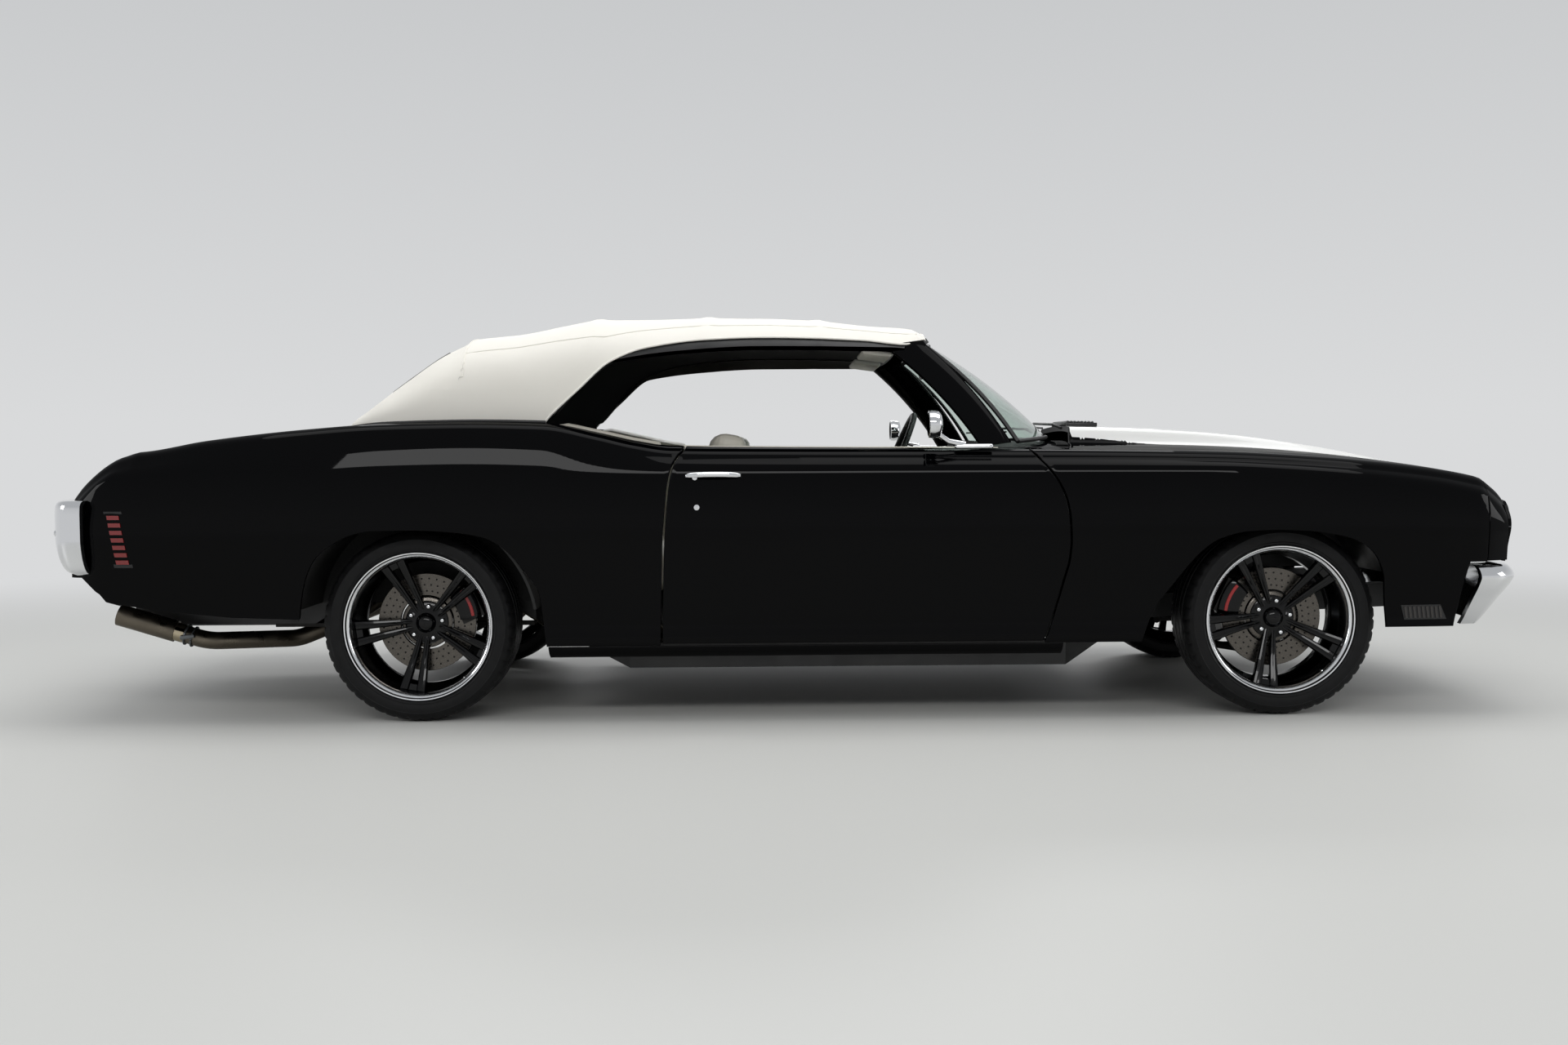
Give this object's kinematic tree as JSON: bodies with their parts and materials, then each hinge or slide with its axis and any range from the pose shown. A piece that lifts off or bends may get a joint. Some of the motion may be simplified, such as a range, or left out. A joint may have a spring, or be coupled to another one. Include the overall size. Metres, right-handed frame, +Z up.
{
  "type": "two-door convertible muscle car",
  "caption": "Two-door convertible muscle car with its fabric top up, long hood with a raised dome, chrome bumpers, and turning wheels, steering, doors and lids.",
  "frame": {"origin": "on the ground, at the middle of the car's length and width", "axes": "+X to the nose, +Y to the car's left, +Z up"},
  "size_m": [5.009, 1.9806, 1.3744],
  "materials": {
    "gloss_black": "deep gloss black paint",
    "satin_black": "satin black paint",
    "chrome": "bright chrome plate",
    "tyre": "smooth black rubber",
    "alloy": "polished lip with gloss black spokes",
    "fabric_white": "woven vinyl-coated cloth",
    "glass": "tinted laminated glass",
    "lamp_glass": "clear lens",
    "red_lens": "red lens",
    "cast_iron": "bare casting",
    "steel": "mild steel tube",
    "vinyl_light": "light vinyl trim",
    "black_plastic": "grained black plastic"
  },
  "bodies": {
    "car_body": {"body_tub": "satin_black", "chassis_frame": "satin_black", "dashboard": "black_plastic", "deck_panel": "gloss_black", "engine_and_gearbox": "cast_iron", "exhaust_system": "steel", "fender_left": "gloss_black", "fender_right": "gloss_black", "front_bumper": "chrome", "front_suspension": "cast_iron", "fuel_tank": "steel", "grille": "black_plastic", "headlamps": "lamp_glass", "inner_fenders": "satin_black", "nose_panel": "gloss_black", "quarter_left": "gloss_black", "quarter_right": "gloss_black", "rear_axle": "cast_iron", "rear_bumper": "chrome", "rear_seat": "vinyl_light", "rear_window": "glass", "seat_left": "vinyl_light", "seat_right": "vinyl_light", "soft_top": "fabric_white", "steering_wheel": "black_plastic", "tail_lamps": "red_lens", "tail_panel": "gloss_black", "top_side_rails": "gloss_black", "windshield_frame": "gloss_black", "windshield_glass": "glass"},
    "door_right": {"door_right": "gloss_black", "mirror_right": "chrome"},
    "door_left": {"door_left": "gloss_black", "mirror_left": "chrome"},
    "hood": {"hood": "gloss_black"},
    "trunk_lid": {"trunk_lid": "gloss_black"},
    "knuckle_right": {"knuckle_right": "cast_iron"},
    "knuckle_left": {"knuckle_left": "cast_iron"},
    "wheel_front_right": {"wheel_front_right": "alloy", "tyre_front_right": "tyre"},
    "wheel_front_left": {"wheel_front_left": "alloy", "tyre_front_left": "tyre"},
    "wheel_rear_right": {"wheel_rear_right": "alloy", "tyre_rear_right": "tyre"},
    "wheel_rear_left": {"wheel_rear_left": "alloy", "tyre_rear_left": "tyre"}
  },
  "joints": [
    {"name": "steer_right", "type": "hinge", "parent": "car_body", "child": "knuckle_right", "pos_m": [1.6195, -0.664, 0.317], "axis": [0, 0, 1], "range_deg": [-30, 30]},
    {"name": "steer_left", "type": "hinge", "parent": "car_body", "child": "knuckle_left", "pos_m": [1.6195, 0.664, 0.317], "axis": [0, 0, 1], "range_deg": [-30, 30]},
    {"name": "spin_front_right", "type": "hinge", "parent": "knuckle_right", "child": "wheel_front_right", "pos_m": [1.6195, -0.745, 0.317], "axis": [0, 1, 0], "continuous": true},
    {"name": "spin_front_left", "type": "hinge", "parent": "knuckle_left", "child": "wheel_front_left", "pos_m": [1.6195, 0.745, 0.317], "axis": [0, 1, 0], "continuous": true},
    {"name": "spin_rear_right", "type": "hinge", "parent": "car_body", "child": "wheel_rear_right", "pos_m": [-1.2255, -0.745, 0.317], "axis": [0, 1, 0], "continuous": true},
    {"name": "spin_rear_left", "type": "hinge", "parent": "car_body", "child": "wheel_rear_left", "pos_m": [-1.2255, 0.745, 0.317], "axis": [0, 1, 0], "continuous": true},
    {"name": "door_right_hinge", "type": "hinge", "parent": "car_body", "child": "door_right", "pos_m": [0.86927, -0.9295, 0.6], "axis": [0, 0, 1], "range_deg": [0, 62]},
    {"name": "door_left_hinge", "type": "hinge", "parent": "car_body", "child": "door_left", "pos_m": [0.86927, 0.9295, 0.6], "axis": [0, 0, -1], "range_deg": [0, 62]},
    {"name": "hood_hinge", "type": "hinge", "parent": "car_body", "child": "hood", "pos_m": [0.94793, 0, 0.92], "axis": [0, -1, 0], "range_deg": [0, 50]},
    {"name": "trunk_hinge", "type": "hinge", "parent": "car_body", "child": "trunk_lid", "pos_m": [-1.72037, 0, 0.956], "axis": [0, 1, 0], "range_deg": [0, 60]}
  ]
}
